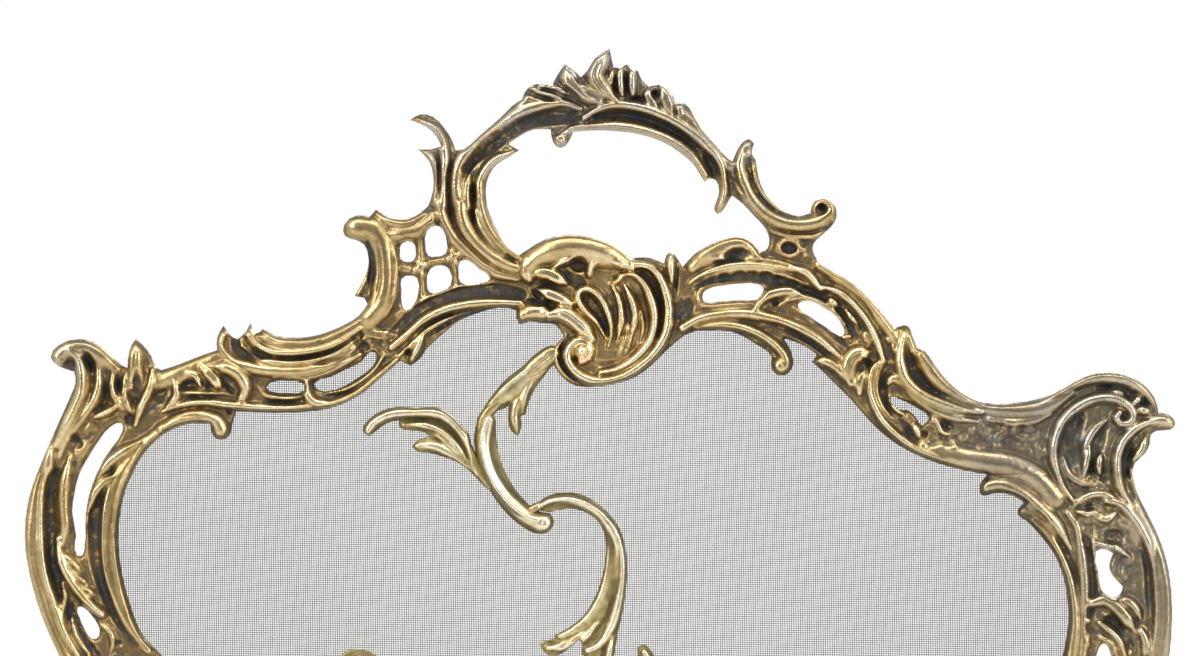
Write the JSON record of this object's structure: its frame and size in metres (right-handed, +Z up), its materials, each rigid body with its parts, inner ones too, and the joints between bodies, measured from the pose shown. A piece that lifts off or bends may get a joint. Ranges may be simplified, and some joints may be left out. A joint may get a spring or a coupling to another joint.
{
  "type": "fireplace screen",
  "caption": "Free-standing single-panel spark screen: pierced cast scroll frame with a carrying handle, woven wire panel, applied scroll ornament and folding rear feet.",
  "frame": {"origin": "on the floor, at the centre of the object's width and depth", "axes": "+X to the viewer's right, the ornamented front faces -Y, +Z up"},
  "size_m": [0.724, 0.21, 0.77],
  "materials": {
    "cast_brass": "gilt brass castings, worn bright on the ridges with dark grey-brown patina in the recesses",
    "ornament_brass": "paler satin gilt brass with olive shadows",
    "wire_mesh": "dark oxidised woven wire",
    "backing_brass": "unpolished brass strip",
    "screw_brass": "aged brass screws",
    "hinge_brass": "aged brass hinge fittings"
  },
  "bodies": {
    "screen_frame": {"bottom_rail": "cast_brass", "foot_screw_left_1": "screw_brass", "foot_screw_left_2": "screw_brass", "foot_screw_right_1": "screw_brass", "foot_screw_right_2": "screw_brass", "front_foot_left": "cast_brass", "front_foot_right": "cast_brass", "handle_loop": "cast_brass", "handle_plate_left": "backing_brass", "handle_plate_left_screw_1": "screw_brass", "handle_plate_left_screw_2": "screw_brass", "handle_plate_right": "backing_brass", "handle_plate_right_screw_1": "screw_brass", "handle_plate_right_screw_2": "screw_brass", "hinge_bracket_left": "hinge_brass", "hinge_bracket_right": "hinge_brass", "hinge_pin_left": "hinge_brass", "hinge_pin_right": "hinge_brass", "left_stile": "cast_brass", "ornament_c_stem": "ornament_brass", "ornament_c_stem_screw": "screw_brass", "ornament_frond": "ornament_brass", "ornament_frond_screw": "screw_brass", "ornament_leaf": "ornament_brass", "ornament_leaf_screw": "screw_brass", "ornament_s_stem": "ornament_brass", "ornament_s_stem_screw": "screw_brass", "ornament_spray": "ornament_brass", "ornament_spray_screw": "screw_brass", "retainer_corner_left": "backing_brass", "retainer_corner_left_screw_1": "screw_brass", "retainer_corner_left_screw_2": "screw_brass", "retainer_corner_right": "backing_brass", "retainer_corner_right_screw_1": "screw_brass", "retainer_corner_right_screw_2": "screw_brass", "retainer_shell_left": "backing_brass", "retainer_shell_left_screw_1": "screw_brass", "retainer_shell_left_screw_2": "screw_brass", "retainer_shell_right": "backing_brass", "retainer_shell_right_screw_1": "screw_brass", "retainer_shell_right_screw_2": "screw_brass", "retainer_shoulder_left": "backing_brass", "retainer_shoulder_left_screw_1": "screw_brass", "retainer_shoulder_left_screw_2": "screw_brass", "retainer_shoulder_right": "backing_brass", "retainer_shoulder_right_screw_1": "screw_brass", "retainer_shoulder_right_screw_2": "screw_brass", "retainer_trellis": "backing_brass", "retainer_trellis_screw_1": "screw_brass", "retainer_trellis_screw_2": "screw_brass", "right_stile": "cast_brass", "shell_cartouche": "cast_brass", "trellis_scroll": "cast_brass", "upper_left_rail": "cast_brass", "upper_right_rail": "cast_brass", "wire_panel": "wire_mesh"},
    "rear_foot_left": {"rear_foot_left": "cast_brass"},
    "rear_foot_right": {"rear_foot_right": "cast_brass"}
  },
  "joints": [
    {"name": "rear_foot_left_fold", "type": "hinge", "parent": "screen_frame", "child": "rear_foot_left", "pos_m": [-0.262, 0.018, 0.159], "axis": [0, 0, -1], "range_deg": [0, 90]},
    {"name": "rear_foot_right_fold", "type": "hinge", "parent": "screen_frame", "child": "rear_foot_right", "pos_m": [0.262, 0.018, 0.159], "axis": [0, 0, 1], "range_deg": [0, 90]}
  ]
}
